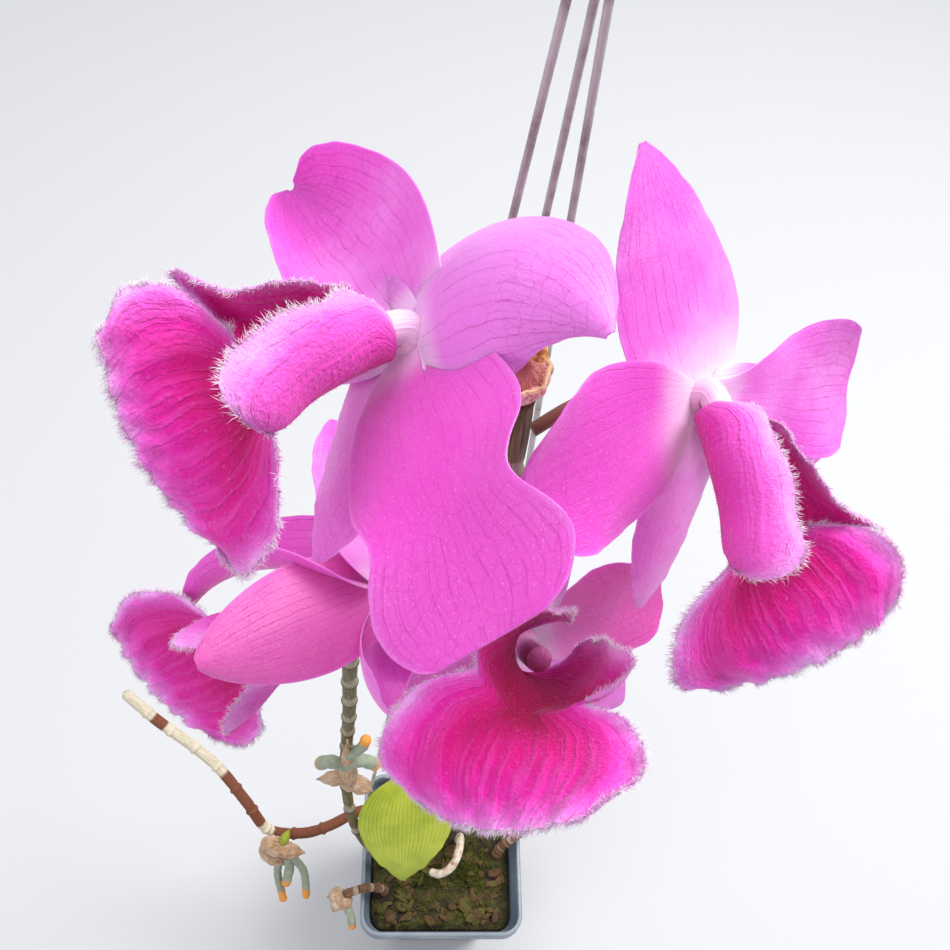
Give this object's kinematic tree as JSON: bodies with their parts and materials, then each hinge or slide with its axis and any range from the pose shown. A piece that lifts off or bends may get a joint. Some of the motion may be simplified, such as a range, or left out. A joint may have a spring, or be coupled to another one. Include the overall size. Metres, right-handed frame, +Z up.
{
  "type": "dendrobium orchid",
  "caption": "Dendrobium orchid in bloom: leafless canes carry magenta flowers with wide hairy lips, growing in a small square pot with a wire hanger.",
  "frame": {"origin": "middle of the pot's flat base", "axes": "+Z up along the canes and hanger, -Y towards the pot's front, where the blooms lean, +X to the pot's right seen from the front"},
  "size_m": [0.1995, 0.1543, 0.6171],
  "materials": {
    "pot_plastic": "smooth matt blue-grey moulded plastic",
    "growing_medium": "rough damp bark and moss",
    "hanger_wire": "dull galvanised wire",
    "cane": "olive-brown ribbed skin under thin papery sheaths",
    "dry_cane": "dry red-brown cane with cream papery sheaths",
    "keiki": "papery tan bracts and pale roots with orange tips",
    "papery_sheath": "thin dry translucent paper with dark veins",
    "dried_stub": "dry golden fibre",
    "aerial_root": "matt spongy grey-green root skin",
    "leaf": "soft waxy lime green",
    "petal": "soft sparkling petal with parallel veins",
    "lip": "velvety with short hairs"
  },
  "bodies": {
    "root": {"pot": "pot_plastic", "growing_medium": "growing_medium", "hanger_wire_left": "hanger_wire", "hanger_wire_back_left": "hanger_wire", "hanger_wire_back_right": "hanger_wire", "hanger_hook": "hanger_wire", "flowering_cane": "cane", "left_cane": "cane", "old_cane": "dry_cane", "old_keiki": "keiki", "left_keiki": "keiki", "rim_keiki": "keiki", "rim_stub": "dry_cane", "cane_tip_sheath": "papery_sheath", "cane_tip_stub": "dried_stub", "curled_root": "aerial_root", "leafy_shoot": "leaf", "bloom_a": "petal", "bloom_a_lip": "lip", "bloom_b": "petal", "bloom_b_lip": "lip", "bloom_c": "petal", "bloom_c_lip": "lip", "bloom_d": "petal", "bloom_d_lip": "lip"}
  },
  "joints": []
}
